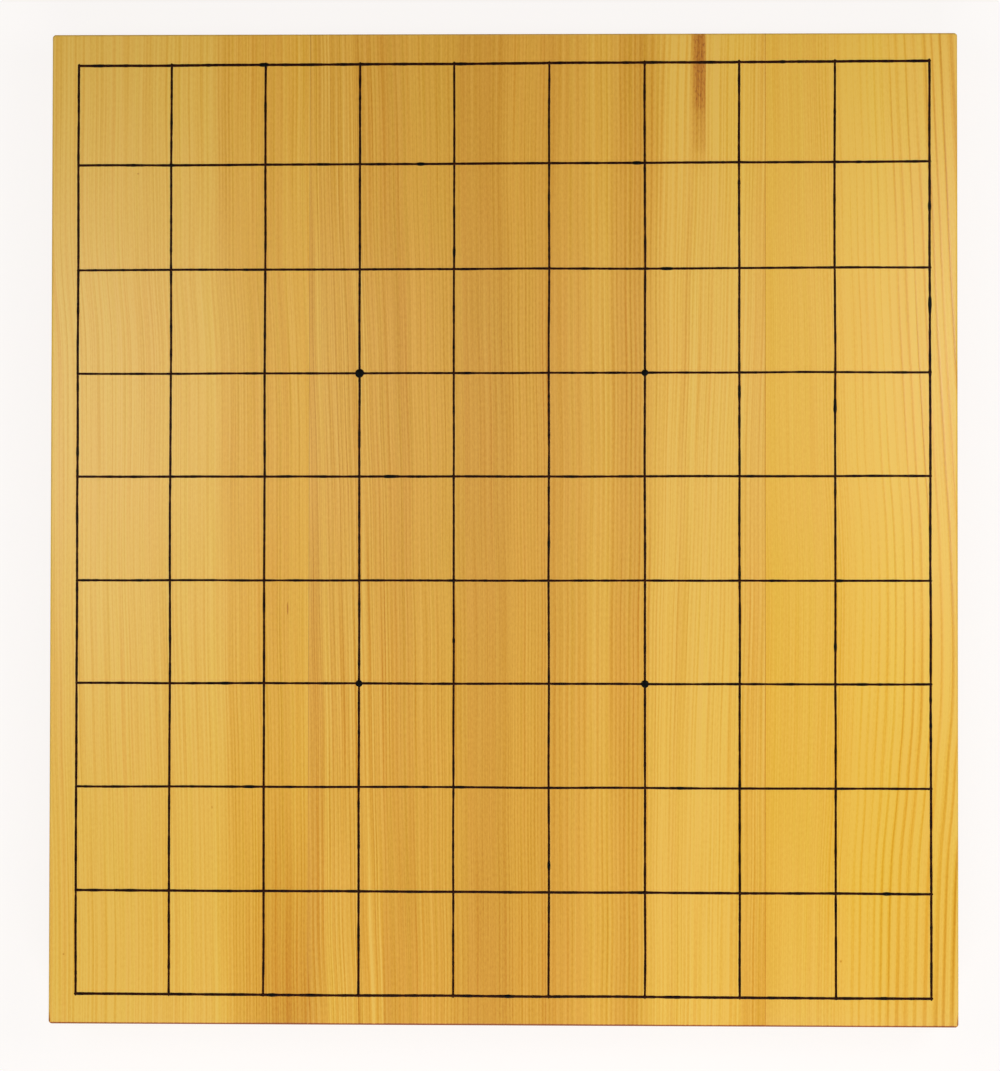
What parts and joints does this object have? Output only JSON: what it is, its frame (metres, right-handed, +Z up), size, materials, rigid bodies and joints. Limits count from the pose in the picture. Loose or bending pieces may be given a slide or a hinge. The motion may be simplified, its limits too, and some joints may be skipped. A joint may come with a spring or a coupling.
{
  "type": "tabletop shogi board",
  "caption": "Solid wooden tabletop board of three planks glued edge to edge, with a raised black lacquer grid of nine by nine squares and star points on its top face.",
  "frame": {"origin": "middle of the underside of the slab, on the surface that the board lies on", "axes": "+Z up through the playing face, +Y from the near player towards the far edge, +X to the near player's right"},
  "size_m": [0.333, 0.364, 0.0304],
  "materials": {
    "left_plank_wood": "satin waxed honey-coloured quarter-sawn softwood, fine even rings",
    "middle_plank_wood": "satin waxed honey-coloured quarter-sawn softwood, coarser browner rings and a short resin streak",
    "right_plank_wood": "satin waxed honey-coloured quarter-sawn softwood, pale, with wide rings at the outer edge",
    "wood_glue": "dark set glue, planed flush with the wood",
    "black_lacquer": "raised black lacquer laid by hand, semi-gloss"
  },
  "bodies": {
    "root": {"plank_left": "left_plank_wood", "plank_middle": "middle_plank_wood", "plank_right": "right_plank_wood", "glue_line_left": "wood_glue", "glue_line_right": "wood_glue", "file_line_1": "black_lacquer", "file_line_2": "black_lacquer", "file_line_3": "black_lacquer", "file_line_4": "black_lacquer", "file_line_5": "black_lacquer", "file_line_6": "black_lacquer", "file_line_7": "black_lacquer", "file_line_8": "black_lacquer", "file_line_9": "black_lacquer", "file_line_10": "black_lacquer", "rank_line_1": "black_lacquer", "rank_line_2": "black_lacquer", "rank_line_3": "black_lacquer", "rank_line_4": "black_lacquer", "rank_line_5": "black_lacquer", "rank_line_6": "black_lacquer", "rank_line_7": "black_lacquer", "rank_line_8": "black_lacquer", "rank_line_9": "black_lacquer", "rank_line_10": "black_lacquer", "star_point_far_left": "black_lacquer", "star_point_far_right": "black_lacquer", "star_point_near_left": "black_lacquer", "star_point_near_right": "black_lacquer"}
  },
  "joints": []
}
